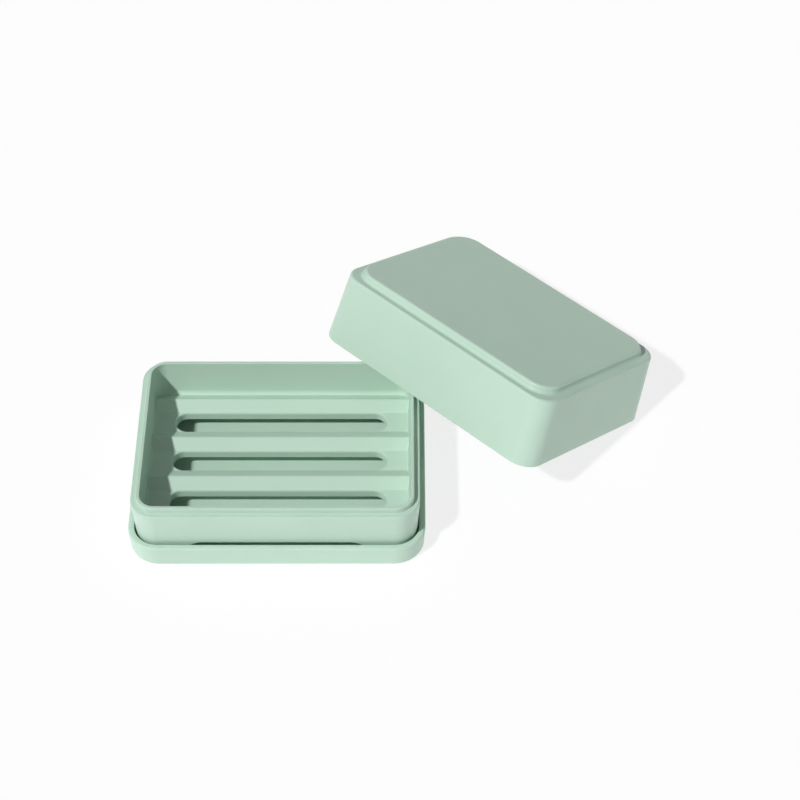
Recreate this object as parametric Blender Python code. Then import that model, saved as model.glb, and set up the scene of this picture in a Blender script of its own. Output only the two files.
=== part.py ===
"""Soap dish of three plastic mouldings: a drip tray, a ribbed soap holder and a lid taken off and leaning on it.

Metres, +Z up. The origin is the centre of the tray's underside, +X runs along the dish and -Y is its front.
"""
import math

import bmesh
import bpy
from mathutils import Matrix, Vector

MM = 0.001

# Gap kept between two pieces that touch, and how far a cutter runs past a face that it breaks through
PART_GAP = 0.3 * MM
CUT_OVERRUN = 0.3 * MM

# Facets of a quarter corner seen from above, and of a quarter of a rounded edge
CORNER_STEPS = 9
EDGE_STEPS = 3

# Soap holder, outside: its size at the seat where the lid stands
HOLDER_LENGTH = 115.7 * MM
HOLDER_WIDTH = 85.5 * MM
HOLDER_CORNER = 10.25 * MM
HOLDER_DRAW_IN = 1.5 * MM
HOLDER_SEAT_HEIGHT = 24.5 * MM
SEAT_WIDTH = 2.35 * MM
SEAT_EDGE_RADIUS = 0.6 * MM
LIP_HEIGHT = 2.75 * MM
LIP_WIDTH = 1.5 * MM
LIP_OUTSIDE_RADIUS = 0.4 * MM
LIP_INSIDE_RADIUS = 0.2 * MM
FOOT_EDGE_RADIUS = 0.5 * MM

# Low arch through the skirt on each long side, which leaves the holder standing on its ends and corners
ARCH_LENGTH = 74.8 * MM
ARCH_HEIGHT = 8.0 * MM
ARCH_CORNER = 8.0 * MM

# Soap holder, inside: a tub, steeper at its ends, whose floor has ribs along it and slots between the ribs
TUB_DRAW_IN = 1.25 * MM
TUB_END_DRAW_IN = 0.5 * MM
TUB_FILLET = 2.6 * MM
TUB_END_FILLET = 0.9 * MM
TUB_CORNER_LEAST = 3.0 * MM
FLOOR_HEIGHT = 10.0 * MM
FLOOR_THICKNESS = 3.6 * MM
SKIRT_WALL = 2.6 * MM
RIB_HEIGHT = 2.7 * MM
RIB_CREST_RADIUS = 1.2 * MM
RIB_FOOT_FLAT = 0.15 * MM
SLOT_COUNT = 3
SLOT_WIDTH = 10.2 * MM
SLOT_END_MARGIN = 9.25 * MM
SLOT_EDGE_RADIUS = 1.2 * MM

# Drip tray round the holder's foot
TRAY_SIDE_GAP = 0.7 * MM
TRAY_FRONT_GAP = 1.1 * MM
TRAY_RIM_WIDTH = 2.6 * MM
TRAY_HEIGHT = 10.3 * MM
TRAY_FLOOR = 2.0 * MM
TRAY_DRAW_IN = 0.6 * MM
TRAY_INSIDE_DRAFT = 0.5 * MM
TRAY_RIM_RADIUS = 0.9 * MM
TRAY_RIM_INSIDE_RADIUS = 0.5 * MM
TRAY_BASE_RADIUS = 0.9 * MM
TRAY_FILLET = 0.6 * MM

# Lid: its mouth stands just inside the seat's outline, and it fits round the lip
LID_INSET = 0.35 * MM
LID_LIP_CLEARANCE = 0.25 * MM
LID_SHOULDER_HEIGHT = 30.7 * MM
LID_DRAW_IN = 1.6 * MM
LID_CORNER = 9.2 * MM
LID_SHOULDER_RADIUS = 1.0 * MM
LID_LEDGE_WIDTH = 3.7 * MM
LID_TOP_THICKNESS = 2.2 * MM
LID_OPENING_RADIUS = 0.3 * MM
LID_INSIDE_FILLET = 1.5 * MM
PANEL_HEIGHT = 3.1 * MM
PANEL_DRAW_IN = 0.22 * MM
PANEL_CORNER = 9.4 * MM
PANEL_EDGE_RADIUS = 1.15 * MM
PANEL_FOOT_RADIUS = 1.4 * MM

# How the lid leans: turned about Z, over the lip's back right corner, and along its own front edge
LEAN_TURN = math.radians(-42.82)
LEAN_REACH = 15.5 * MM
LEAN_SHIFT = 17.76 * MM

# Plastic: sRGB colour of each moulding, and its gloss
PLASTIC_COLOUR = (0.74, 0.85, 0.79)
PLASTIC_ROUGHNESS = 0.42

# Sizes that follow from the ones above
HOLDER_FOOT = TRAY_FLOOR + PART_GAP
SEAT_Z = HOLDER_FOOT + HOLDER_SEAT_HEIGHT
LIP_Z = SEAT_Z + LIP_HEIGHT
FLOOR_Z = HOLDER_FOOT + FLOOR_HEIGHT
FLOOR_UNDERSIDE_Z = FLOOR_Z - FLOOR_THICKNESS
LID_LENGTH = HOLDER_LENGTH - 2 * LID_INSET
LID_WIDTH = HOLDER_WIDTH - 2 * LID_INSET
LID_WALL = SEAT_WIDTH - LID_INSET - LID_LIP_CLEARANCE
TUB_INSET = SEAT_WIDTH + LIP_WIDTH


def clear_scene():
    """Removes every object that the file holds."""
    for thing in list(bpy.data.objects):
        bpy.data.objects.remove(thing, do_unlink=True)


def rounded_rectangle(length, width, radius, height):
    """Points of a rectangle with round corners, anticlockwise seen from above."""
    radius = min(radius, 0.49 * length, 0.49 * width)
    points = []
    for quarter, (side_x, side_y) in enumerate(((1, 1), (-1, 1), (-1, -1), (1, -1))):
        middle_x = side_x * (length / 2 - radius)
        middle_y = side_y * (width / 2 - radius)
        for step in range(CORNER_STEPS + 1):
            angle = math.pi / 2 * (quarter + step / CORNER_STEPS)
            points.append(Vector((middle_x + radius * math.cos(angle), middle_y + radius * math.sin(angle), height)))
    return points


def inset_loops(length, width, corner, section):
    """Closed outlines of a rounded box, one for each (inset, height) or (inset, height, corner) of its section."""
    loops = []
    for inset, height, *own_corner in section:
        radius = own_corner[0] if own_corner else max(corner - inset, TUB_CORNER_LEAST)
        loops.append(rounded_rectangle(length - 2 * inset, width - 2 * inset, radius, height))
    return loops


def round_edge(middle_inset, middle_height, radius, start_degrees, end_degrees):
    """Section points of a rounded edge; 0 degrees points inwards and 90 degrees up."""
    points = []
    for step in range(EDGE_STEPS + 1):
        angle = math.radians(start_degrees + (end_degrees - start_degrees) * step / EDGE_STEPS)
        points.append((middle_inset + radius * math.cos(angle), middle_height + radius * math.sin(angle)))
    return points


def skin(name, loops):
    """Closed mesh object through a list of like outlines, with a flat cap on the first and the last."""
    mesh = bpy.data.meshes.new(name)
    shape = bmesh.new()
    rings = [[shape.verts.new(point) for point in loop] for loop in loops]
    count = len(rings[0])
    for lower, upper in zip(rings, rings[1:]):
        for index in range(count):
            following = (index + 1) % count
            shape.faces.new((lower[index], lower[following], upper[following], upper[index]))
    shape.faces.new(list(reversed(rings[0])))
    shape.faces.new(rings[-1])
    bmesh.ops.recalc_face_normals(shape, faces=shape.faces)
    shape.to_mesh(mesh)
    shape.free()
    made = bpy.data.objects.new(name, mesh)
    bpy.context.scene.collection.objects.link(made)
    return made


def prism(name, section, half_length):
    """Closed mesh object of a (y, z) section drawn along X from -half_length to +half_length."""
    near = [Vector((-half_length, y, z)) for y, z in section]
    far = [Vector((half_length, y, z)) for y, z in section]
    return skin(name, [near, far])


def combine(target, tool, operation):
    """Boolean of a tool object on the target; the tool is hidden from the model."""
    tool.hide_render = True
    tool.display_type = "WIRE"
    tool.parent = target
    step = target.modifiers.new(f"{operation.lower()} {tool.name}", "BOOLEAN")
    step.operation = operation
    step.solver = "EXACT"
    step.object = tool


def smooth(made, sharp_degrees=32.0):
    """Shades the round stretches smooth and keeps edges sharper than the angle."""
    made.data.shade_smooth()
    made.data.set_sharp_from_angle(angle=math.radians(sharp_degrees))


def plastic(name):
    """Satin mint plastic."""
    material = bpy.data.materials.new(name)
    material.use_nodes = True
    shader = material.node_tree.nodes["Principled BSDF"]
    linear = [((channel + 0.055) / 1.055) ** 2.4 for channel in PLASTIC_COLOUR]
    shader.inputs["Base Color"].default_value = (*linear, 1.0)
    shader.inputs["Roughness"].default_value = PLASTIC_ROUGHNESS
    shader.inputs["Metallic"].default_value = 0.0
    return material


def holder_inset(height):
    """How far the holder's outer wall is drawn in at a height above the tray's underside."""
    return HOLDER_DRAW_IN * (SEAT_Z - height) / HOLDER_SEAT_HEIGHT


def tub_foot_loops():
    """Outlines of the round foot of the tub's wall, down to its floor; the ends are steeper than the sides."""
    loops = []
    for step in range(EDGE_STEPS + 1):
        angle = math.pi / 2 * step / EDGE_STEPS
        from_side = TUB_INSET + TUB_DRAW_IN + TUB_FILLET * (1 - math.cos(angle))
        from_end = TUB_INSET + TUB_END_DRAW_IN + TUB_END_FILLET * (1 - math.cos(angle))
        loops.append(rounded_rectangle(HOLDER_LENGTH - 2 * from_end, HOLDER_WIDTH - 2 * from_side,
                                       max(HOLDER_CORNER - from_side, TUB_CORNER_LEAST),
                                       FLOOR_Z + TUB_FILLET * (1 - math.sin(angle))))
    return loops


def arch_outline(y, below):
    """Closed outline, in the plane at y, of the arch through the holder's skirt."""
    top = HOLDER_FOOT + ARCH_HEIGHT
    radius = min(ARCH_CORNER, ARCH_HEIGHT, 0.49 * ARCH_LENGTH)
    points = [Vector((ARCH_LENGTH / 2, y, below))]
    for side, start in ((1, 0.0), (-1, math.pi / 2)):
        for step in range(CORNER_STEPS + 1):
            angle = start + math.pi / 2 * step / CORNER_STEPS
            points.append(Vector((side * (ARCH_LENGTH / 2 - radius) + radius * math.cos(angle), y,
                                  top - radius + radius * math.sin(angle))))
    points.append(Vector((-ARCH_LENGTH / 2, y, below)))
    return points


def make_drip_tray():
    """Shallow saucer: one wall and floor, with a rounded rim."""
    foot = holder_inset(TRAY_HEIGHT)
    length = HOLDER_LENGTH + 2 * (TRAY_SIDE_GAP + TRAY_RIM_WIDTH - foot)
    width = HOLDER_WIDTH + 2 * (TRAY_FRONT_GAP + TRAY_RIM_WIDTH - foot)
    corner = HOLDER_CORNER - foot + TRAY_FRONT_GAP + TRAY_RIM_WIDTH
    inside = TRAY_RIM_WIDTH + TRAY_INSIDE_DRAFT
    section = round_edge(TRAY_DRAW_IN + TRAY_BASE_RADIUS, TRAY_BASE_RADIUS, TRAY_BASE_RADIUS, 270, 180)
    section += round_edge(TRAY_RIM_RADIUS, TRAY_HEIGHT - TRAY_RIM_RADIUS, TRAY_RIM_RADIUS, 180, 90)
    section += round_edge(TRAY_RIM_WIDTH - TRAY_RIM_INSIDE_RADIUS, TRAY_HEIGHT - TRAY_RIM_INSIDE_RADIUS,
                          TRAY_RIM_INSIDE_RADIUS, 90, 0)
    section += round_edge(inside + TRAY_FILLET, TRAY_FLOOR + TRAY_FILLET, TRAY_FILLET, 180, 270)
    return skin("drip_tray", inset_loops(length, width, corner, section))


def rib_section(crest_y, half_width, top_z, foot_z):
    """(y, z) outline of one rib with a rounded crest, standing on foot_z."""
    slope = math.atan2(RIB_HEIGHT, half_width)
    middle_z = top_z + RIB_CREST_RADIUS - RIB_CREST_RADIUS / math.cos(slope)
    points = [(crest_y - half_width, foot_z), (crest_y - half_width, top_z - RIB_HEIGHT)]
    for step in range(EDGE_STEPS + 1):
        angle = slope - 2 * slope * step / EDGE_STEPS
        points.append((crest_y - RIB_CREST_RADIUS * math.sin(angle),
                       middle_z - RIB_CREST_RADIUS + RIB_CREST_RADIUS * math.cos(angle)))
    points += [(crest_y + half_width, top_z - RIB_HEIGHT), (crest_y + half_width, foot_z)]
    return points


def make_soap_holder():
    """Tub with a lid seat outside its lip, ribs on its floor, drain slots between them and arches at its foot."""
    seat_inner = SEAT_WIDTH
    section = round_edge(holder_inset(HOLDER_FOOT) + FOOT_EDGE_RADIUS, HOLDER_FOOT + FOOT_EDGE_RADIUS,
                         FOOT_EDGE_RADIUS, 270, 180)
    section += round_edge(SEAT_EDGE_RADIUS, SEAT_Z - SEAT_EDGE_RADIUS, SEAT_EDGE_RADIUS, 180, 90)
    section += [(seat_inner, SEAT_Z)]
    section += round_edge(seat_inner + LIP_OUTSIDE_RADIUS, LIP_Z - LIP_OUTSIDE_RADIUS,
                          LIP_OUTSIDE_RADIUS, 180, 90)
    section += round_edge(TUB_INSET - LIP_INSIDE_RADIUS, LIP_Z - LIP_INSIDE_RADIUS, LIP_INSIDE_RADIUS, 90, 0)
    loops = inset_loops(HOLDER_LENGTH, HOLDER_WIDTH, HOLDER_CORNER, section) + tub_foot_loops()
    holder = skin("soap_holder", loops)

    tub_length = HOLDER_LENGTH - 2 * (TUB_INSET + TUB_END_DRAW_IN)
    tub_width = HOLDER_WIDTH - 2 * (TUB_INSET + TUB_DRAW_IN)
    rib_width = (tub_width - SLOT_COUNT * SLOT_WIDTH) / (SLOT_COUNT + 1)
    pitch = rib_width + SLOT_WIDTH
    half_rib = rib_width / 2 - RIB_FOOT_FLAT
    crests = [(index - SLOT_COUNT / 2) * pitch for index in range(SLOT_COUNT + 1)]
    in_wall = TUB_INSET / 2
    for index, crest_y in enumerate(crests):
        rib = prism(f"rib_{index + 1}",
                    rib_section(crest_y, half_rib, FLOOR_Z + RIB_HEIGHT, FLOOR_Z - FLOOR_THICKNESS / 2),
                    tub_length / 2 + in_wall)
        combine(holder, rib, "UNION")

    skirt = holder_inset(HOLDER_FOOT) + SKIRT_WALL
    below = HOLDER_FOOT - CUT_OVERRUN
    hollow = skin("skirt_hollow", inset_loops(HOLDER_LENGTH, HOLDER_WIDTH, HOLDER_CORNER,
                                              [(skirt, below), (skirt, FLOOR_UNDERSIDE_Z)]))
    combine(holder, hollow, "DIFFERENCE")
    hollow_length = HOLDER_LENGTH - 2 * skirt
    for index, crest_y in enumerate(crests[1:-1]):
        groove = prism(f"groove_{index + 1}",
                       rib_section(crest_y, half_rib, FLOOR_UNDERSIDE_Z + RIB_HEIGHT, below),
                       hollow_length / 2 - HOLDER_CORNER)
        combine(holder, groove, "DIFFERENCE")
    for side, name in ((-1, "front"), (1, "back")):
        inside_y = side * (HOLDER_WIDTH / 2 - skirt - CUT_OVERRUN)
        outside_y = side * (HOLDER_WIDTH / 2 + CUT_OVERRUN)
        arch = skin(f"{name}_arch", [arch_outline(inside_y, below), arch_outline(outside_y, below)])
        combine(holder, arch, "DIFFERENCE")

    slot_length = tub_length - 2 * SLOT_END_MARGIN
    slope = math.atan2(RIB_HEIGHT, half_rib)
    round_middle_z = (FLOOR_Z + (SLOT_EDGE_RADIUS - RIB_FOOT_FLAT) * math.tan(slope)
                      - SLOT_EDGE_RADIUS / math.cos(slope))
    for index in range(SLOT_COUNT):
        middle_y = (index - (SLOT_COUNT - 1) / 2) * pitch
        cut = [(0.0, below)]
        for step in range(EDGE_STEPS + 1):
            angle = (math.pi / 2 - slope) * step / EDGE_STEPS
            cut.append((-SLOT_EDGE_RADIUS * (1 - math.cos(angle)),
                        round_middle_z + SLOT_EDGE_RADIUS * math.sin(angle)))
        reach, height = cut[-1]
        cut.append((reach - RIB_HEIGHT / 2, height + RIB_HEIGHT))
        loops = []
        for inset, z in cut:
            outline = rounded_rectangle(slot_length - 2 * inset, SLOT_WIDTH - 2 * inset,
                                        SLOT_WIDTH / 2 - inset, z)
            loops.append([point + Vector((0, middle_y, 0)) for point in outline])
        combine(holder, skin(f"slot_{index + 1}", loops), "DIFFERENCE")
    return holder


def make_lid():
    """Cover, open downwards, modelled with its opening in its own z = 0 plane; a panel stands up on its top."""
    panel_foot = LID_DRAW_IN + LID_LEDGE_WIDTH
    panel_edge = panel_foot + PANEL_DRAW_IN
    panel_z = LID_SHOULDER_HEIGHT + PANEL_HEIGHT
    outside = round_edge(LID_OPENING_RADIUS, LID_OPENING_RADIUS, LID_OPENING_RADIUS, 270, 180)
    outside = [(inset, height, LID_CORNER) for inset, height in outside]
    outside += [(inset, height, LID_CORNER) for inset, height in
                round_edge(LID_DRAW_IN + LID_SHOULDER_RADIUS, LID_SHOULDER_HEIGHT - LID_SHOULDER_RADIUS,
                           LID_SHOULDER_RADIUS, 180, 90)]
    outside += [(inset, height, PANEL_CORNER) for inset, height in
                round_edge(panel_foot - PANEL_FOOT_RADIUS, LID_SHOULDER_HEIGHT + PANEL_FOOT_RADIUS,
                           PANEL_FOOT_RADIUS, 270, 360)]
    outside += [(inset, height, PANEL_CORNER) for inset, height in
                round_edge(panel_edge + PANEL_EDGE_RADIUS, panel_z - PANEL_EDGE_RADIUS,
                           PANEL_EDGE_RADIUS, 180, 90)]

    wall_top = LID_WALL + LID_DRAW_IN
    under_ledge = LID_SHOULDER_HEIGHT - LID_TOP_THICKNESS
    under_panel = panel_z - LID_TOP_THICKNESS
    panel_inside = panel_foot + LID_WALL
    inside = [(inset, height, LID_CORNER - LID_WALL) for inset, height in
              round_edge(LID_WALL - LID_OPENING_RADIUS, LID_OPENING_RADIUS, LID_OPENING_RADIUS, 270, 360)]
    inside += [(inset, height, LID_CORNER - LID_WALL) for inset, height in
               round_edge(wall_top + LID_INSIDE_FILLET, under_ledge - LID_INSIDE_FILLET, LID_INSIDE_FILLET, 180, 90)]
    inside += [(panel_inside, under_ledge, PANEL_CORNER - LID_WALL),
               (panel_inside + PANEL_DRAW_IN, under_panel, PANEL_CORNER - LID_WALL)]
    loops = inset_loops(LID_LENGTH, LID_WIDTH, LID_CORNER, list(reversed(outside)) + inside)
    return skin("lid", loops)


def lean(lid):
    """Stands the lid's back lower edge on the ground and lays its front lower edge on the holder's lip."""
    rise = math.asin((LIP_Z + PART_GAP) / (LID_WIDTH - LID_WALL))
    along = Vector((math.cos(LEAN_TURN), math.sin(LEAN_TURN), 0))
    across = Vector((-math.sin(LEAN_TURN), math.cos(LEAN_TURN), 0))
    lip_corner = Vector((HOLDER_LENGTH / 2 - SEAT_WIDTH, HOLDER_WIDTH / 2 - SEAT_WIDTH, 0))
    front_middle = lip_corner - across * LEAN_REACH + along * LEAN_SHIFT
    centre = front_middle + across * (LID_WIDTH / 2 * math.cos(rise))
    centre.z = LID_WIDTH / 2 * math.sin(rise)
    lid.rotation_mode = "XYZ"
    lid.rotation_euler = (Matrix.Rotation(LEAN_TURN, 3, "Z") @ Matrix.Rotation(-rise, 3, "X")).to_euler("XYZ")
    lid.location = centre


def main():
    clear_scene()
    tray = make_drip_tray()
    holder = make_soap_holder()
    lid = make_lid()
    lean(lid)
    for made in (tray, holder, lid):
        smooth(made)
        made.data.materials.append(plastic(f"{made.name}_plastic"))


main()
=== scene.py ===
"""Soap dish of three satin plastic mouldings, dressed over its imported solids.

A shallow drip tray carries the soap holder, whose floor has ribs and drain slots, and the lid has been
taken off and leans on the holder's lip. Lengths are in metres, in the frame of the solids: +X along the
dish, -Y its front.
"""

import logging
import math
from contextlib import contextmanager
from dataclasses import dataclass, field, replace
from enum import Enum
from typing import Any, Callable, Iterator, Sequence

import bmesh
import bpy
from mathutils import Matrix, Vector


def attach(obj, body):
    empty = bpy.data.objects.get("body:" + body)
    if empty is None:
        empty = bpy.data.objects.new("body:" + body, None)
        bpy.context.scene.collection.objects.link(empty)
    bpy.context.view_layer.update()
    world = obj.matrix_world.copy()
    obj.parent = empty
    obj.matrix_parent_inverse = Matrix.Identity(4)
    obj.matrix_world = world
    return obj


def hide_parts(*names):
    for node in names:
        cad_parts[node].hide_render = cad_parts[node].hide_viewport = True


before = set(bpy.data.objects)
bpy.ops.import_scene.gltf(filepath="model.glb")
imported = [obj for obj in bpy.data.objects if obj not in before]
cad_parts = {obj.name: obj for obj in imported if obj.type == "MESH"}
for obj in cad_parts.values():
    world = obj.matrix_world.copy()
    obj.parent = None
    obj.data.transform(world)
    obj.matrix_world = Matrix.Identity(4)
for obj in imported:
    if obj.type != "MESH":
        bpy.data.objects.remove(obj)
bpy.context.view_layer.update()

LOG = logging.getLogger("soap_dish")
MM = 0.001
PART_GAP = 0.3 * MM  # left between the leaning lid and the holder's lip
CUT_OVERRUN = 0.3 * MM  # how far a cutting tool reaches past the faces that it cuts
WELD_DISTANCE = 0.002 * MM  # points nearer than this become one
SHARP_ANGLE = math.radians(24.0)  # edges sharper than this stay sharp in the shading
FLAT_WEIGHT = 80  # how strongly large faces pull the normals of the rounds beside them
NEARLY = 0.9  # share of straight up, or of a ridge's rise, that counts as all of it
LAYER_SHIFT = 100.0  # how far a pattern moves on for each metre of its size, so that layers differ


class Body(Enum):
    """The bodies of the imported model, by name."""

    TRAY = "drip_tray"
    HOLDER = "soap_holder"
    LID = "lid"


class Join(Enum):
    """How a tool acts on the piece that it is joined to."""

    ADD = "UNION"
    CUT = "DIFFERENCE"


class Pick(Enum):
    """What an edit selects."""

    POINTS = "VERT"
    EDGES = "EDGE"
    FACES = "FACE"


# Modelling


class Bench:
    """Blender's modelling operators on one mesh object, as a maker would use them by hand."""

    def __init__(self, piece: bpy.types.Object) -> None:
        """Takes the mesh object that is worked on."""
        self.piece = piece

    @staticmethod
    def clear() -> None:
        """Deselects every object."""
        bpy.ops.object.select_all(action="DESELECT")

    def take_up(self) -> None:
        """Makes the piece the only selected object, and the active one."""
        Bench.clear()
        self.piece.select_set(True)
        bpy.context.view_layer.objects.active = self.piece

    @contextmanager
    def editing(self, pick: Pick) -> Iterator[bmesh.types.BMesh]:
        """Edit mode on the piece with nothing selected.

        Args:
            pick: What the edit selects.

        Returns:
            The mesh that is being edited, for the time of the edit.
        """
        self.take_up()
        bpy.ops.object.mode_set(mode="EDIT")
        bpy.ops.mesh.select_mode(type=pick.value)
        bpy.ops.mesh.select_all(action="DESELECT")
        yield bmesh.from_edit_mesh(self.piece.data)
        bpy.ops.object.mode_set(mode="OBJECT")

    def choose(self, items: Any, test: Callable[[Any], bool]) -> None:
        """Selects just those points, edges or faces that pass a test.

        Args:
            items: The verts, edges or faces of the mesh that is being edited.
            test: Says whether an item is wanted.
        """
        bpy.ops.mesh.select_all(action="DESELECT")
        for item in items:
            if test(item):
                item.select_set(True)
        bmesh.update_edit_mesh(self.piece.data)

    def face_outwards(self) -> None:
        """Turns every face of the closed piece to look outwards."""
        with self.editing(Pick.FACES):
            bpy.ops.mesh.select_all(action="SELECT")
            bpy.ops.mesh.normals_make_consistent(inside=False)

    def join_tool(self, tool: "Bench", how: Join) -> None:
        """Adds a closed tool to the piece or cuts it away, and removes the tool.

        Args:
            tool: The closed mesh that acts on the piece.
            how: Whether it is added or cut.
        """
        step = self.piece.modifiers.new(f"{how.name.lower()}_{tool.piece.name}", "BOOLEAN")
        step.operation = how.value
        step.solver = "EXACT"
        step.object = tool.piece
        self.take_up()
        bpy.ops.object.modifier_apply(modifier=step.name)
        bpy.data.objects.remove(tool.piece, do_unlink=True)

    def join_row(self, tool: "Bench", how: Join, places: Sequence[float]) -> None:
        """Joins copies of a closed tool to the piece in a row across it, and removes the tool.

        Args:
            tool: The closed mesh, modelled about the X axis; each copy has its own mesh.
            how: Whether the copies are added or cut.
            places: Where each copy lies along Y.
        """
        for place in places:
            tool.take_up()
            bpy.ops.object.duplicate()
            copy = Bench(bpy.context.active_object)
            copy.settle(Matrix.Translation((0.0, place, 0.0)))
            self.join_tool(copy, how)
        bpy.data.objects.remove(tool.piece, do_unlink=True)

    def settle(self, place: Matrix) -> None:
        """Carries the mesh to its place and leaves the object at the origin, unturned.

        Args:
            place: The piece's own frame, seen from the frame of the solids.
        """
        self.piece.matrix_world = place
        self.take_up()
        bpy.ops.object.transform_apply(location=True, rotation=True, scale=True)

    def smooth(self) -> None:
        """Shades the rounds smooth and keeps the flats flat."""
        self.take_up()
        bpy.ops.object.shade_smooth_by_angle(angle=SHARP_ANGLE)
        weigh = self.piece.modifiers.new("weigh_normals", "WEIGHTED_NORMAL")
        weigh.mode = "FACE_AREA"
        weigh.weight = FLAT_WEIGHT
        weigh.keep_sharp = True
        bpy.ops.object.modifier_apply(modifier=weigh.name)


@dataclass(frozen=True)
class Outline:
    """A level rectangle with round corners, centred on the Z axis.

    Args:
        length: Its size along X.
        width: Its size along Y.
        radius: Its corners' radius; half its width makes it a slot.
        height: Its height on Z.
    """

    length: float
    width: float
    radius: float
    height: float

    def moved_in(self, inset: float, height: float, radius: float | None = None,
                 ends: float | None = None) -> "Outline":
        """A like outline that lies further in, at another height.

        Args:
            inset: How far in, all round.
            height: Its height on Z.
            radius: Its corners' radius, where that doesn't just follow the inset.
            ends: How far in at its two ends, where that isn't the same.

        Returns:
            The new outline.
        """
        own = self.radius - inset if radius is None else radius
        end_inset = inset if ends is None else ends
        return Outline(self.length - 2 * end_inset, self.width - 2 * inset, own, height)

    def draw(self, ring: int, steps: int) -> bpy.types.Object:
        """Draws the outline as a closed wire: a plane whose corners are bevelled and whose face is taken out.

        Args:
            ring: The number that its points keep.
            steps: How many edges make a corner.

        Returns:
            The wire.
        """
        Bench.clear()
        middle = (0.0, 0.0, self.height)
        bpy.ops.mesh.primitive_plane_add(size=self.width, location=middle)
        wire = bpy.context.active_object
        bpy.ops.object.transform_apply(location=True, rotation=True, scale=True)
        with Bench(wire).editing(Pick.POINTS):
            bpy.ops.mesh.select_all(action="SELECT")
            bpy.ops.transform.resize(value=(self.length / self.width, 1.0, 1.0), center_override=middle)
            bpy.ops.mesh.bevel(offset=self.radius, segments=steps, affect="VERTICES", clamp_overlap=False)
            bpy.ops.mesh.select_all(action="SELECT")
            bpy.ops.mesh.remove_doubles(threshold=WELD_DISTANCE)
            bpy.ops.mesh.select_all(action="SELECT")
            bpy.ops.mesh.delete(type="ONLY_FACE")
        numbers = wire.data.attributes.new("ring", "INT", "POINT")
        numbers.data.foreach_set("value", [ring] * len(wire.data.vertices))
        return wire


class Moulding(Bench):
    """A closed form that is skinned over a stack of outlines, first to last.

    The outlines are skinned well apart and then pushed to their heights, so that two at one height never
    cross.
    """

    def __init__(self, name: str, outlines: Sequence[Outline], steps: int) -> None:
        """Skins the form.

        Args:
            name: The object's name.
            outlines: The stack; the first and the last are closed with a face.
            steps: How many edges make a corner.
        """
        apart = max(outline.length for outline in outlines)
        wires = [replace(outline, height=outline.height + ring * apart).draw(ring, steps)
                 for ring, outline in enumerate(outlines)]
        Bench.clear()
        for wire in wires:
            wire.select_set(True)
        bpy.context.view_layer.objects.active = wires[0]
        bpy.ops.object.join()
        super().__init__(bpy.context.active_object)
        self.piece.name = name
        self.piece.data.name = name
        last = len(outlines) - 1
        for lower in range(last):
            with self.editing(Pick.EDGES) as shape:
                self.choose_rings(shape, {lower, lower + 1})
                bpy.ops.mesh.bridge_edge_loops()
        for ring in range(1, last + 1):
            with self.editing(Pick.EDGES) as shape:
                self.choose_rings(shape, {ring})
                bpy.ops.transform.translate(value=(0.0, 0.0, -ring * apart))
        for ring in (0, last):
            with self.editing(Pick.EDGES) as shape:
                self.choose_rings(shape, {ring})
                bpy.ops.mesh.edge_face_add()
        self.face_outwards()

    def choose_rings(self, shape: bmesh.types.BMesh, rings: set[int]) -> None:
        """Selects the edges that run along some of the outlines.

        Args:
            shape: The mesh that is being edited.
            rings: The outlines' numbers.
        """
        number = shape.verts.layers.int["ring"]
        self.choose(shape.edges, lambda edge: edge.verts[0][number] in rings
                    and edge.verts[0][number] == edge.verts[1][number])

    def round_off(self, *rounds: tuple[int, float, int]) -> None:
        """Rounds the edges that run along some of the outlines, one after the other.

        Args:
            rounds: For each, the outline's number, the round's radius and how many faces make the round.
        """
        for ring, radius, steps in rounds:
            with self.editing(Pick.EDGES) as shape:
                self.choose_rings(shape, {ring})
                bpy.ops.mesh.bevel(offset=radius, segments=steps, affect="EDGES", clamp_overlap=False)


class Block(Bench):
    """A rectangular block that lies along the axes, centred on the Z axis."""

    def __init__(self, name: str, length: float, width: float, foot: float, top: float) -> None:
        """Adds the block.

        Args:
            name: The object's name.
            length: Its size along X.
            width: Its size along Y.
            foot: Its lowest height.
            top: Its highest.
        """
        Bench.clear()
        bpy.ops.mesh.primitive_cube_add(size=1.0, location=(0.0, 0.0, (foot + top) / 2),
                                        scale=(length, width, top - foot))
        super().__init__(bpy.context.active_object)
        self.piece.name = name
        bpy.ops.object.transform_apply(location=True, rotation=True, scale=True)


class Ridge(Block):
    """A roof-shaped bar along the X axis on a block, with its crest rounded."""

    CREST_STEPS = 6

    def __init__(self, name: str, half_length: float, half_width: float, foot: float, rise: float,
                 block: float, crest: float) -> None:
        """Models the bar.

        Args:
            name: The object's name.
            half_length: Half its length.
            half_width: Half its width at the foot of its slopes.
            foot: Height of the foot of its slopes.
            rise: Height of its crest over that.
            block: How far the block goes down under it.
            crest: The crest's radius.
        """
        super().__init__(name, 2 * half_length, 2 * half_width, foot - block, foot)
        tangent = crest * math.tan(math.atan2(rise, half_width))
        with self.editing(Pick.FACES) as shape:
            self.choose(shape.faces, lambda face: face.normal.z > NEARLY)
            bpy.ops.mesh.extrude_region_move(TRANSFORM_OT_translate={"value": (0.0, 0.0, rise)})
            bpy.ops.transform.resize(value=(1.0, 0.0, 1.0), center_override=(0.0, 0.0, foot + rise))
            bpy.ops.mesh.remove_doubles(threshold=WELD_DISTANCE)
        with self.editing(Pick.EDGES) as shape:
            self.choose(shape.edges,
                        lambda edge: min(point.co.z for point in edge.verts) > foot + NEARLY * rise)
            bpy.ops.mesh.bevel(offset=tangent, segments=self.CREST_STEPS, affect="EDGES",
                               clamp_overlap=False)
        self.face_outwards()


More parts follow.
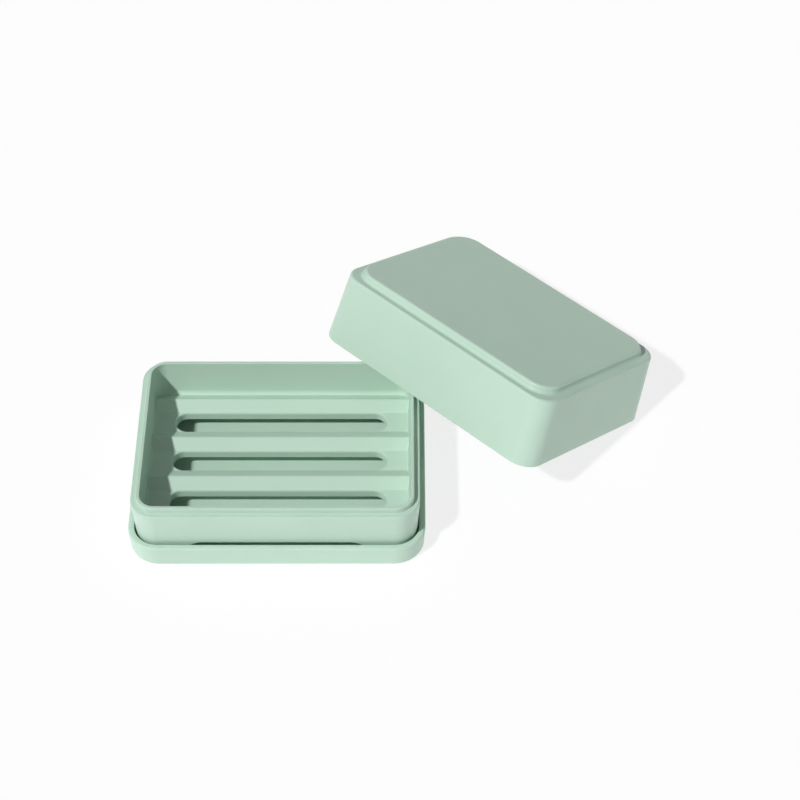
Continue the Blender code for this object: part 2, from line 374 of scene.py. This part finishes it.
class Arch(Block):
    """A block with its two upper edges rounded off, which cuts a low arch through a front or back wall."""

    CORNER_STEPS = 16

    def __init__(self, name: str, length: float, depth: float, foot: float, top: float,
                 radius: float) -> None:
        """Models the block.

        Args:
            name: The object's name.
            length: The arch's length along X.
            depth: The block's size along Y.
            foot: Its lowest height.
            top: The arch's top.
            radius: The radius of its two upper corners.
        """
        super().__init__(name, length, depth, foot, top)
        with self.editing(Pick.EDGES) as shape:
            self.choose(shape.edges,
                        lambda edge: edge.verts[0].co.x * edge.verts[1].co.x > 0.0
                        and min(point.co.z for point in edge.verts) > (foot + top) / 2)
            bpy.ops.mesh.bevel(offset=radius, segments=self.CORNER_STEPS, affect="EDGES",
                               clamp_overlap=False)


# Finishes


class Signal:
    """A number that varies over a surface: a shader socket that Python's operators work on."""

    def __init__(self, sheet: "NodeSheet", socket: bpy.types.NodeSocket) -> None:
        """Takes the socket that gives the number, and the node sheet that it is on."""
        self.sheet = sheet
        self.socket = socket

    def _math(self, operation: str, first: "Signal | float", second: "Signal | float") -> "Signal":
        """Adds a Math node on two numbers and returns what it gives."""
        made = self.sheet.add("ShaderNodeMath", {"operation": operation}, {0: first, 1: second})
        return Signal(self.sheet, made.outputs[0])

    def __add__(self, other: "Signal | float") -> "Signal":
        """self + other"""
        return self._math("ADD", self, other)

    def __radd__(self, other: float) -> "Signal":
        """other + self"""
        return self._math("ADD", other, self)

    def __mul__(self, other: "Signal | float") -> "Signal":
        """self * other"""
        return self._math("MULTIPLY", self, other)

    def __rmul__(self, other: float) -> "Signal":
        """other * self"""
        return self._math("MULTIPLY", other, self)


class NodeSheet:
    """The node tree of one material or world."""

    def __init__(self, tree: bpy.types.NodeTree) -> None:
        """Takes the node tree that nodes are added to."""
        self.tree = tree

    def add(self, kind: str, settings: dict[str, Any] | None = None,
            values: dict[str | int, Any] | None = None) -> bpy.types.Node:
        """Adds a node.

        Args:
            kind: Its type.
            settings: Its own settings, which are set first.
            values: What goes into its sockets, by name or number: a plain value, a socket or a signal.

        Returns:
            The node.
        """
        node = self.tree.nodes.new(kind)
        for name, value in (settings or {}).items():
            setattr(node, name, value)
        for name, value in (values or {}).items():
            self.feed(node.inputs[name], value)
        return node

    def feed(self, socket: bpy.types.NodeSocket, value: Any) -> None:
        """Links or sets a socket.

        Args:
            socket: The socket that takes the value.
            value: A signal, another node's socket, or a plain value.
        """
        if isinstance(value, Signal):
            value = value.socket
        if isinstance(value, bpy.types.NodeSocket):
            self.tree.links.new(value, socket)
        else:
            socket.default_value = value


@dataclass(frozen=True)
class SatinPlastic:
    """Through-coloured satin plastic from a finely spark-textured mould.

    Args:
        name: The material's name.
        colour: Its linear colour where it is fresh.
        cloud_colour: Its linear colour where the pigment flowed thicker.
        gloss: Its mean roughness.
        gloss_rubs: How far the roughness varies with the rubbed streaks.
        gloss_grain: How far the roughness varies with the grain.
        sheen: How much of a smooth surface's reflection the fine texture leaves; 0.5 is all of it.
        refraction: Its index of refraction.
        cloud_size: How large a cloud of pigment is.
        cloud_share: How much the clouds count for the colour; the grain counts for the rest.
        cloud_span: Where on the mixed pattern the colour starts to turn, and where it has turned.
        rub_size: How wide a rubbed streak is.
        rub_stretch: The scale of the streaks' pattern along the dish; under 1 draws them out.
        peel_size: How large a dimple of the mould's face is.
        peel_depth: How deep the dimples are.
        grain_size: How large a grain of the spark texture is.
        grain_depth: How deep the grain is.
        centre: The middle of the pattern.
        turn: How the pattern is turned, in radians about X, Y and Z.
        seed: Shifts the pattern, so that no two pieces are alike.
    """

    name: str
    colour: tuple[float, float, float] = (0.488, 0.650, 0.541)
    cloud_colour: tuple[float, float, float] = (0.474, 0.638, 0.528)
    gloss: float = 0.40
    gloss_rubs: float = 0.14
    gloss_grain: float = 0.07
    sheen: float = 0.25
    refraction: float = 1.49
    cloud_size: float = 26 * MM
    cloud_share: float = 0.8
    cloud_span: tuple[float, float] = (0.38, 0.62)
    rub_size: float = 5 * MM
    rub_stretch: float = 0.25
    peel_size: float = 3.2 * MM
    peel_depth: float = 0.022 * MM
    grain_size: float = 0.34 * MM
    grain_depth: float = 0.012 * MM
    centre: tuple[float, float, float] = (0.0, 0.0, 0.0)
    turn: tuple[float, float, float] = (0.0, 0.0, 0.0)
    seed: float = 0.0

    def noise(self, sheet: NodeSheet, place: bpy.types.NodeSocket, size: float, detail: float,
              rough: float = 0.5) -> Signal:
        """Adds a cloud pattern.

        Args:
            sheet: The node sheet.
            place: The socket that gives the place on the piece.
            size: How large a cloud is.
            detail: How many finer layers it has.
            rough: How strong those are.

        Returns:
            A number from 0 to 1, mostly near 0.5.
        """
        made = sheet.add("ShaderNodeTexNoise", {"noise_dimensions": "4D"},
                         {"Vector": place, "W": self.seed + LAYER_SHIFT * size, "Scale": 1.0 / size,
                          "Detail": detail, "Roughness": rough})
        return Signal(sheet, made.outputs[0])

    def mix(self) -> bpy.types.Material:
        """Builds the material.

        Returns:
            The material, ready to be put on a piece.
        """
        material = bpy.data.materials.new(self.name)
        material.use_nodes = True
        sheet = NodeSheet(material.node_tree)
        shader = material.node_tree.nodes["Principled BSDF"]
        coordinates = sheet.add("ShaderNodeTexCoord")
        mapping = sheet.add("ShaderNodeMapping", {"vector_type": "TEXTURE"},
                            {"Vector": coordinates.outputs["Object"], "Location": self.centre,
                             "Rotation": self.turn})
        place = mapping.outputs[0]
        clouds = self.noise(sheet, place, self.cloud_size, detail=2.0)
        stretched = sheet.add("ShaderNodeMapping", None,
                              {"Vector": place, "Scale": (self.rub_stretch, 1.0, 1.0)})
        rubs = self.noise(sheet, stretched.outputs[0], self.rub_size, detail=5.0, rough=0.62)
        peel = self.noise(sheet, place, self.peel_size, detail=1.0)
        grain = self.noise(sheet, place, self.grain_size, detail=2.0, rough=0.6)

        pigment = clouds * self.cloud_share + grain * (1.0 - self.cloud_share)
        start, end = self.cloud_span
        cloudy = sheet.add("ShaderNodeMapRange", {"clamp": True},
                           {"Value": pigment, "From Min": start, "From Max": end,
                            "To Min": 0.0, "To Max": 1.0})
        # A Mix node's colours are its sockets 6 and 7, and its mixed colour is output 2.
        colour = sheet.add("ShaderNodeMix", {"data_type": "RGBA"}, {
            0: cloudy.outputs[0], 6: (*self.colour, 1.0), 7: (*self.cloud_colour, 1.0)})
        sheet.feed(shader.inputs["Base Color"], colour.outputs[2])

        least_gloss = self.gloss - (self.gloss_rubs + self.gloss_grain) / 2
        sheet.feed(shader.inputs["Roughness"],
                   least_gloss + rubs * self.gloss_rubs + grain * self.gloss_grain)

        relief = sheet.add("ShaderNodeBump", None, {
            "Strength": 1.0, "Distance": 1.0, "Height": grain * self.grain_depth + peel * self.peel_depth})
        sheet.feed(shader.inputs["Normal"], relief.outputs[0])

        shader.inputs["Metallic"].default_value = 0.0
        shader.inputs["IOR"].default_value = self.refraction
        shader.inputs["Specular IOR Level"].default_value = self.sheen
        return material


# Sub-assemblies


@dataclass
class SoapHolder:
    """The tub that stands in the tray, with a lip for the lid, ribs on its floor and a slot in each valley.

    Args:
        length: Its length at the seat.
        width: Its width at the seat.
        corner: The radius of its corners at the seat.
        foot: How high its lower edge stands.
        foot_draw_in: How far the outer wall draws in down to the foot.
        foot_radius: The round on its lower edge.
        arch_length: The length of the arch through the skirt.
        arch_height: The arch's height over the foot.
        arch_corner: The radius of the arch's upper corners.
        seat: Height of the seat that takes the lid's edge.
        seat_width: The seat's width.
        seat_radius: The round on the seat's outer edge.
        lip: Height of the lip inside the seat.
        lip_width: The lip's width.
        lip_outside_radius: The round on the lip's outer edge.
        lip_inside_radius: The round on the lip's inner edge.
        lip_foot_radius: The round in the corner between the seat and the lip.
        tub_draw_in: How far the tub's long walls draw in from the lip down to the floor.
        tub_end_draw_in: How far its end walls draw in.
        tub_fillet: The round at the foot of its long walls.
        tub_end_fillet: How far that round reaches in at the end walls.
        tub_corner: The least radius of the tub's corners.
        fillet_steps: How many faces make the round at the foot of the walls.
        corner_steps: How many edges make a corner.
        floor: Height of the tub's floor between the ribs.
        floor_thickness: The floor's thickness.
        skirt_wall: The skirt's thickness at the foot.
        skirt_fillet: The round where the skirt meets the floor's underside.
        skirt_corner_steps: How many edges make a corner inside the skirt.
        rib_rise: The ribs' height.
        rib_crest: The radius of their crests.
        rib_flat: The flat strip between a rib's foot and a slot's side.
        groove_block: How far the tool that hollows a rib from below goes down under the floor.
        slots: How many slots there are; the ribs are one more.
        slot_width: A slot's width.
        slot_margin: How far the slots end before the end walls.
        slot_radius: The round on a slot's mouth.
        slot_steps: How many faces make that round.
        slot_corner_steps: How many edges make a quarter of a slot's round end.
        finish: What it is moulded in.
    """

    length: float = 115.7 * MM
    width: float = 85.5 * MM
    corner: float = 10.25 * MM
    foot: float = 2.3 * MM
    foot_draw_in: float = 1.5 * MM
    foot_radius: float = 0.5 * MM
    arch_length: float = 74.8 * MM
    arch_height: float = 8.0 * MM
    arch_corner: float = 8.0 * MM
    seat: float = 26.8 * MM
    seat_width: float = 2.35 * MM
    seat_radius: float = 0.6 * MM
    lip: float = 29.55 * MM
    lip_width: float = 1.5 * MM
    lip_outside_radius: float = 0.4 * MM
    lip_inside_radius: float = 0.2 * MM
    lip_foot_radius: float = 0.3 * MM
    tub_draw_in: float = 1.25 * MM
    tub_end_draw_in: float = 0.5 * MM
    tub_fillet: float = 2.6 * MM
    tub_end_fillet: float = 0.9 * MM
    tub_corner: float = 3.0 * MM
    fillet_steps: int = 8
    corner_steps: int = 18
    floor: float = 12.3 * MM
    floor_thickness: float = 3.6 * MM
    skirt_wall: float = 2.6 * MM
    skirt_fillet: float = 1.0 * MM
    skirt_corner_steps: int = 10
    rib_rise: float = 2.7 * MM
    rib_crest: float = 1.2 * MM
    rib_flat: float = 0.15 * MM
    groove_block: float = 3.0 * MM
    slots: int = 3
    slot_width: float = 10.2 * MM
    slot_margin: float = 9.25 * MM
    slot_radius: float = 1.2 * MM
    slot_steps: int = 6
    slot_corner_steps: int = 14
    finish: SatinPlastic = field(default_factory=lambda: SatinPlastic("holder_plastic", seed=3.7))

    @property
    def rim_inset(self) -> float:
        """How far the tub's mouth lies in from the seat's outline."""
        return self.seat_width + self.lip_width

    @property
    def side_inset(self) -> float:
        """How far the tub's long walls lie in from the seat's outline at the floor."""
        return self.rim_inset + self.tub_draw_in

    @property
    def end_inset(self) -> float:
        """How far the tub's end walls lie in from the seat's outline at the floor."""
        return self.rim_inset + self.tub_end_draw_in

    @property
    def rib_width(self) -> float:
        """Width of a rib at the floor."""
        inside = self.width - 2 * self.side_inset
        return (inside - self.slots * self.slot_width) / (self.slots + 1)

    @property
    def pitch(self) -> float:
        """Step from one rib to the next."""
        return self.rib_width + self.slot_width

    def inset_at(self, height: float) -> float:
        """How far the outer wall lies in from the seat's outline at a height."""
        return self.foot_draw_in * (self.seat - height) / (self.seat - self.foot)

    def shell(self) -> Moulding:
        """Skins the tub, without ribs or slots.

        Returns:
            The closed shell.
        """
        top = Outline(self.length, self.width, self.corner, self.seat)
        stack = [
            top.moved_in(self.foot_draw_in, self.foot),
            top,
            top.moved_in(self.seat_width, self.seat),
            top.moved_in(self.seat_width, self.lip),
            top.moved_in(self.rim_inset, self.lip),
        ]
        for step in range(self.fillet_steps + 1):
            angle = math.pi / 2 * step / self.fillet_steps
            side = self.side_inset + self.tub_fillet * (1 - math.cos(angle))
            end = self.end_inset + self.tub_end_fillet * (1 - math.cos(angle))
            stack.append(top.moved_in(side, self.floor + self.tub_fillet * (1 - math.sin(angle)),
                                      max(self.corner - side, self.tub_corner), end))
        shell = Moulding("soap_holder_tub", stack, self.corner_steps)
        shell.round_off((0, self.foot_radius, 3), (1, self.seat_radius, 6), (2, self.lip_foot_radius, 3),
                        (3, self.lip_outside_radius, 4), (4, self.lip_inside_radius, 3))
        return shell

    def crests(self) -> list[float]:
        """Places of the ribs along Y, front to back."""
        return [(index - self.slots / 2) * self.pitch for index in range(self.slots + 1)]

    def valleys(self) -> list[float]:
        """Places of the slots along Y, front to back."""
        return [(index - (self.slots - 1) / 2) * self.pitch for index in range(self.slots)]

    def add_ribs(self, shell: Moulding) -> None:
        """Stands the ribs on the tub's floor, from end wall to end wall.

        Args:
            shell: The tub.
        """
        half_length = self.length / 2 - self.end_inset + self.rim_inset / 2
        rib = Ridge("rib", half_length, self.rib_width / 2 - self.rib_flat, self.floor, self.rib_rise,
                    self.floor_thickness / 2, self.rib_crest)
        shell.join_row(rib, Join.ADD, self.crests())

    def hollow_skirt(self, shell: Moulding) -> None:
        """Hollows the tub's underside up to the floor, and under the two middle ribs.

        Args:
            shell: The tub.
        """
        wall = self.foot_draw_in + self.skirt_wall
        under = self.floor - self.floor_thickness
        below = self.foot - CUT_OVERRUN
        base = Outline(self.length, self.width, self.corner, 0.0)
        hollow = Moulding("skirt_hollow", [base.moved_in(wall, below), base.moved_in(wall, under)],
                          self.skirt_corner_steps)
        hollow.round_off((1, self.skirt_fillet, 4))
        shell.join_tool(hollow, Join.CUT)
        groove = Ridge("groove", self.length / 2 - wall - self.corner, self.rib_width / 2 - self.rib_flat,
                       under, self.rib_rise, self.groove_block, self.rib_crest)
        shell.join_row(groove, Join.CUT, self.crests()[1:-1])

    def cut_arches(self, shell: Moulding) -> None:
        """Cuts the low arch through the skirt on each long side.

        Args:
            shell: The tub.
        """
        inside = self.width / 2 - self.foot_draw_in - self.skirt_wall - CUT_OVERRUN
        outside = self.width / 2 + CUT_OVERRUN
        arch = Arch("skirt_arch", self.arch_length, outside - inside, self.foot - CUT_OVERRUN,
                    self.foot + self.arch_height, self.arch_corner)
        middle = (inside + outside) / 2
        shell.join_row(arch, Join.CUT, (-middle, middle))

    def cut_slots(self, shell: Moulding) -> None:
        """Cuts a slot with a rounded mouth through each valley.

        The round touches the ribs' slopes, and the tool goes on up along them past the crests.

        Args:
            shell: The tub.
        """
        length = self.length - 2 * self.end_inset - 2 * self.slot_margin
        slope = math.atan2(self.rib_rise, self.rib_width / 2 - self.rib_flat)
        middle_z = (self.floor + (self.slot_radius - self.rib_flat) * math.tan(slope)
                    - self.slot_radius / math.cos(slope))
        levels = [(0.0, self.foot - CUT_OVERRUN)]
        for step in range(self.slot_steps + 1):
            angle = (math.pi / 2 - slope) * step / self.slot_steps
            levels.append((self.slot_radius * (1 - math.cos(angle)),
                           middle_z + self.slot_radius * math.sin(angle)))
        out, height = levels[-1]
        levels.append((out + self.rib_rise / 2, height + self.rib_rise))
        mouth = Outline(length, self.slot_width, self.slot_width / 2, self.floor)
        slot = Moulding("slot", [mouth.moved_in(-out, height) for out, height in levels],
                        self.slot_corner_steps)
        shell.join_row(slot, Join.CUT, self.valleys())

    def build(self) -> bpy.types.Object:
        """Models the holder and dresses it.

        Returns:
            The finished piece.
        """
        shell = self.shell()
        self.add_ribs(shell)
        self.hollow_skirt(shell)
        self.cut_arches(shell)
        self.cut_slots(shell)
        shell.smooth()
        shell.piece.data.materials.append(self.finish.mix())
        return shell.piece


@dataclass
class DripTray:
    """The shallow saucer under the holder, with a rounded rim.

    Args:
        holder: The holder that stands in it.
        side_gap: The gap between the rim and the holder's ends.
        front_gap: The gap between the rim and the holder's long sides.
        height: The rim's height.
        rim: The rim's width.
        floor: The floor's thickness.
        draw_in: How far the outer wall draws in down to the underside.
        inside_draft: How far the inner wall draws in down to the floor.
        rim_radius: The round on the rim's outer edge.
        rim_inside_radius: The round on the rim's inner edge.
        base_radius: The round on the lower edge.
        fillet: The round at the foot of the inner wall.
        corner_steps: How many edges make a corner.
        finish: What it is moulded in.
    """

    holder: SoapHolder
    side_gap: float = 0.7 * MM
    front_gap: float = 1.1 * MM
    height: float = 10.3 * MM
    rim: float = 2.6 * MM
    floor: float = 2.0 * MM
    draw_in: float = 0.6 * MM
    inside_draft: float = 0.5 * MM
    rim_radius: float = 0.9 * MM
    rim_inside_radius: float = 0.5 * MM
    base_radius: float = 0.9 * MM
    fillet: float = 0.6 * MM
    corner_steps: int = 22
    finish: SatinPlastic = field(default_factory=lambda: SatinPlastic("tray_plastic", seed=1.3))

    def rim_outline(self) -> Outline:
        """The rim's outline, which keeps its gaps to the holder's wall."""
        foot = self.holder.inset_at(self.height)
        return Outline(self.holder.length + 2 * (self.side_gap + self.rim - foot),
                       self.holder.width + 2 * (self.front_gap + self.rim - foot),
                       self.holder.corner - foot + self.front_gap + self.rim, self.height)

    def build(self) -> bpy.types.Object:
        """Models the tray and dresses it.

        Returns:
            The finished piece.
        """
        top = self.rim_outline()
        stack = [
            top.moved_in(self.draw_in, 0.0),
            top,
            top.moved_in(self.rim, self.height),
            top.moved_in(self.rim + self.inside_draft, self.floor),
        ]
        tray = Moulding("drip_tray_saucer", stack, self.corner_steps)
        tray.round_off((0, self.base_radius, 5), (1, self.rim_radius, 6), (2, self.rim_inside_radius, 4),
                       (3, self.fillet, 5))
        tray.smooth()
        tray.piece.data.materials.append(self.finish.mix())
        return tray.piece


@dataclass
class Lid:
    """The tapered cover, modelled with its opening level at zero and then leant on the holder's lip.

    Args:
        holder: The holder that it closes.
        inset: How far its mouth lies in from the seat's outline.
        lip_clearance: The gap between its wall and the lip when it is closed.
        shoulder: Height of the shoulder over the mouth.
        draw_in: How far the wall draws in up to the shoulder.
        corner: The radius of the mouth's corners.
        shoulder_radius: The round on the shoulder.
        ledge: The width of the ledge round the panel.
        top_thickness: The thickness of the top.
        mouth_radius: The round on the mouth's edges.
        inside_fillet: The round inside, under the shoulder.
        inside_step_radius: The round on the edge inside, under the panel's foot.
        inside_top_radius: The round inside, under the panel's edge.
        panel_rise: The panel's height over the ledge.
        panel_draw_in: How far the panel's side draws in.
        panel_corner: The radius of the panel's corners.
        panel_radius: The round on the panel's edge.
        panel_foot_radius: The round at the panel's foot.
        corner_steps: How many edges make a corner.
        turn: How it is turned about Z as it leans.
        reach: How far its front edge lies in front of the lip's corner, square to that edge.
        shift: How far its middle lies past the lip's corner, along that edge.
    """

    holder: SoapHolder
    inset: float = 0.35 * MM
    lip_clearance: float = 0.25 * MM
    shoulder: float = 30.7 * MM
    draw_in: float = 1.6 * MM
    corner: float = 9.2 * MM
    shoulder_radius: float = 1.0 * MM
    ledge: float = 3.7 * MM
    top_thickness: float = 2.2 * MM
    mouth_radius: float = 0.3 * MM
    inside_fillet: float = 1.5 * MM
    inside_step_radius: float = 0.5 * MM
    inside_top_radius: float = 0.8 * MM
    panel_rise: float = 3.1 * MM
    panel_draw_in: float = 0.22 * MM
    panel_corner: float = 9.4 * MM
    panel_radius: float = 1.15 * MM
    panel_foot_radius: float = 1.4 * MM
    corner_steps: int = 20
    turn: float = math.radians(-42.82)
    reach: float = 15.5 * MM
    shift: float = 17.76 * MM

    @property
    def wall(self) -> float:
        """The wall's thickness at the mouth, which leaves the lip its clearance."""
        return self.holder.seat_width - self.inset - self.lip_clearance

    @property
    def mouth(self) -> Outline:
        """The outline of the lid's mouth, just inside the seat's own."""
        return Outline(self.holder.length - 2 * self.inset, self.holder.width - 2 * self.inset,
                       self.corner, 0.0)

    def place(self) -> Matrix:
        """Where the lid lies: its back lower edge on the ground and its front lower edge on the holder's lip.

        Returns:
            The lid's own frame, seen from the frame of the solids.
        """
        width = self.mouth.width
        rise = math.asin((self.holder.lip + PART_GAP) / (width - self.wall))
        along = Vector((math.cos(self.turn), math.sin(self.turn), 0.0))
        across = Vector((-math.sin(self.turn), math.cos(self.turn), 0.0))
        lip_corner = Vector((self.holder.length / 2 - self.holder.seat_width,
                             self.holder.width / 2 - self.holder.seat_width, 0.0))
        centre = lip_corner - across * self.reach + along * self.shift + across * (width / 2 * math.cos(rise))
        centre.z = width / 2 * math.sin(rise)
        turned = Matrix.Rotation(self.turn, 4, "Z") @ Matrix.Rotation(-rise, 4, "X")
        return Matrix.Translation(centre) @ turned

    def build(self) -> bpy.types.Object:
        """Models the lid, leans it and dresses it.

        Returns:
            The finished piece.
        """
        mouth = self.mouth
        panel_foot = self.draw_in + self.ledge
        panel_top = self.shoulder + self.panel_rise
        inner_corner = self.corner - self.wall
        panel_inner = self.panel_corner - self.wall
        shoulder_inset = self.draw_in * self.shoulder / (self.shoulder - self.shoulder_radius)
        under = self.top_thickness
        stack = [
            mouth.moved_in(panel_foot + self.wall + self.panel_draw_in, panel_top - under, panel_inner),
            mouth.moved_in(panel_foot + self.wall, self.shoulder - under, panel_inner),
            mouth.moved_in(self.wall + self.draw_in, self.shoulder - under, inner_corner),
            mouth.moved_in(self.wall, 0.0, inner_corner),
            mouth,
            mouth.moved_in(shoulder_inset, self.shoulder, self.corner),
            mouth.moved_in(panel_foot, self.shoulder, self.panel_corner),
            mouth.moved_in(panel_foot + self.panel_draw_in, panel_top, self.panel_corner),
        ]
        lid = Moulding("lid_cover", stack, self.corner_steps)
        lid.round_off((0, self.inside_top_radius, 4), (1, self.inside_step_radius, 3),
                      (2, self.inside_fillet, 5), (3, self.mouth_radius, 3), (4, self.mouth_radius, 3),
                      (5, self.shoulder_radius, 6), (6, self.panel_foot_radius, 7), (7, self.panel_radius, 7))
        place = self.place()
        lid.settle(place)
        lid.smooth()
        finish = SatinPlastic("lid_plastic", centre=tuple(place.translation), turn=tuple(place.to_euler()),
                              seed=8.1)
        lid.piece.data.materials.append(finish.mix())
        return lid.piece


# Stage, light and camera


@dataclass
class Studio:
    """A pale floor that throws light back up, a key from the front left and a weak fill from the right.

    Args:
        camera_place: Where the camera stands.
        camera_pitch: How far it is turned up from straight down.
        lens: Its focal length in millimetres.
        sensor: The width of its sensor in millimetres.
        near_limit: The nearest that it sees.
        key: The way that the key's light travels.
        key_strength: The key's strength.
        key_size: The key's width across the sky, in radians.
        fill: The way that the fill's light travels.
        fill_strength: The fill's strength.
        fill_size: The fill's width across the sky, in radians.
        lamp_height: How high the key and the fill hang; a distant light shines alike from any height.
        bounce_place: The middle of the lamp on the floor.
        bounce_width: That lamp's width.
        bounce_strength: The brightness of its face.
        sky_strength: How strongly the sky lights the object.
        floor_size: The floor's width.
        floor_drop: How far the floor lies under the object, to stay clear of it.
        floor_shade: How pale the floor is for the light that it throws back.
        floor_look: How pale it looks.
        floor_glow: How much of its look is plain white, which no shadow darkens.
        floor_roughness: Its roughness.
    """

    camera_place: tuple[float, float, float] = (49.76 * MM, -592.06 * MM, 690.85 * MM)
    camera_pitch: float = math.radians(42.7)
    lens: float = 98.0
    sensor: float = 36.0
    near_limit: float = 10 * MM
    key: tuple[float, float, float] = (0.612, 0.60, -1.0)
    key_strength: float = 2.82
    key_size: float = math.radians(3.0)
    fill: tuple[float, float, float] = (-0.75, 0.65, -0.12)
    fill_strength: float = 0.25
    fill_size: float = math.radians(40.0)
    lamp_height: float = 0.8
    bounce_place: tuple[float, float, float] = (0.05, 0.0, -0.1 * MM)
    bounce_width: float = 1.2
    bounce_strength: float = 0.28
    sky_strength: float = 0.184
    floor_size: float = 4.0
    floor_drop: float = 0.2 * MM
    floor_shade: float = 0.86
    floor_look: float = 1.0
    floor_glow: float = 0.8
    floor_roughness: float = 0.9

    def camera(self) -> None:
        """Sets the camera up at the viewing angle."""
        bpy.ops.object.camera_add(location=self.camera_place, rotation=(self.camera_pitch, 0.0, 0.0))
        camera = bpy.context.active_object
        camera.name = "camera"
        camera.data.lens = self.lens
        camera.data.sensor_width = self.sensor
        camera.data.clip_start = self.near_limit
        bpy.context.scene.camera = camera

    def sun(self, name: str, travel: tuple[float, float, float], strength: float, size: float) -> None:
        """Hangs a distant light.

        Args:
            name: Its name.
            travel: The way that its light travels.
            strength: Its strength.
            size: Its width across the sky, in radians.
        """
        turn = Vector(travel).to_track_quat("-Z", "Y").to_euler()
        bpy.ops.object.light_add(type="SUN", location=(0.0, 0.0, self.lamp_height), rotation=turn)
        sun = bpy.context.active_object
        sun.name = name
        sun.data.energy = strength
        sun.data.angle = size

    def bounce(self) -> None:
        """Lays a lamp on the floor for the light that a pale table throws back up, out of the camera's sight.

        Such a lamp's energy is the brightness of its face times pi times its area.
        """
        bpy.ops.object.light_add(type="AREA", location=self.bounce_place, rotation=(math.pi, 0.0, 0.0))
        bounce = bpy.context.active_object
        bounce.name = "bounce"
        bounce.visible_camera = False
        bounce.data.shape = "SQUARE"
        bounce.data.size = self.bounce_width
        bounce.data.energy = self.bounce_strength * math.pi * self.bounce_width ** 2

    @staticmethod
    def seen(sheet: NodeSheet) -> Signal:
        """Tells what is seen from what lights the object.

        Args:
            sheet: The node sheet.

        Returns:
            1 for what the camera, a reflection or a clear piece sees, and 0 for light on the object.
        """
        path = sheet.add("ShaderNodeLightPath")
        camera, glossy, clear = (Signal(sheet, path.outputs[name]) for name in (
            "Is Camera Ray", "Is Glossy Ray", "Is Transmission Ray"))
        return camera + glossy + clear

    def sky(self) -> None:
        """Lights all round softly, and looks white."""
        world = bpy.data.worlds.new("sky")
        world.use_nodes = True
        bpy.context.scene.world = world
        sheet = NodeSheet(world.node_tree)
        backdrop = world.node_tree.nodes["Background"]
        backdrop.inputs["Color"].default_value = (1.0, 1.0, 1.0, 1.0)
        strength = self.sky_strength + self.seen(sheet) * (1.0 - self.sky_strength)
        sheet.feed(backdrop.inputs["Strength"], strength)

    def floor(self) -> None:
        """Lays the pale floor that keeps the dish's shadow."""
        Bench.clear()
        bpy.ops.mesh.primitive_plane_add(size=self.floor_size, location=(0.0, 0.0, -self.floor_drop))
        floor = bpy.context.active_object
        floor.name = "floor"
        bpy.ops.object.transform_apply(location=True, rotation=True, scale=True)
        material = bpy.data.materials.new("pale_floor")
        material.use_nodes = True
        sheet = NodeSheet(material.node_tree)
        shader = material.node_tree.nodes["Principled BSDF"]
        seen = self.seen(sheet)
        pale = seen * (self.floor_look - self.floor_shade) + self.floor_shade
        grey = sheet.add("ShaderNodeCombineColor", None, {"Red": pale, "Green": pale, "Blue": pale})
        sheet.feed(shader.inputs["Base Color"], grey.outputs[0])
        shader.inputs["Roughness"].default_value = self.floor_roughness
        glow = sheet.add("ShaderNodeEmission", None, {"Color": (1.0, 1.0, 1.0, 1.0), "Strength": 1.0})
        mixed = sheet.add("ShaderNodeMixShader", None, {
            0: seen * self.floor_glow, 1: shader.outputs[0], 2: glow.outputs[0]})
        sheet.feed(material.node_tree.nodes["Material Output"].inputs["Surface"], mixed.outputs[0])
        floor.data.materials.append(material)

    def build(self) -> None:
        """Sets up the whole studio."""
        self.camera()
        self.sun("key", self.key, self.key_strength, self.key_size)
        self.sun("fill", self.fill, self.fill_strength, self.fill_size)
        self.bounce()
        self.sky()
        self.floor()
        bpy.context.scene.view_settings.view_transform = "Standard"


def hand_over(piece: bpy.types.Object, body: Body) -> None:
    """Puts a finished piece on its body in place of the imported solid, and reports it.

    Args:
        piece: The finished piece.
        body: The body that it rides on, whose node and material slot have the same name.
    """
    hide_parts(body.value)
    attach(piece, body.value)
    LOG.info("%s rides on %s: %d faces", piece.name, body.value, len(piece.data.polygons))


def main() -> None:
    """Builds the studio and the three mouldings."""
    logging.basicConfig(level=logging.INFO, format="%(name)s: %(message)s")
    Studio().build()
    holder = SoapHolder()
    hand_over(DripTray(holder).build(), Body.TRAY)
    hand_over(holder.build(), Body.HOLDER)
    hand_over(Lid(holder).build(), Body.LID)


if __name__ == "__main__":
    main()
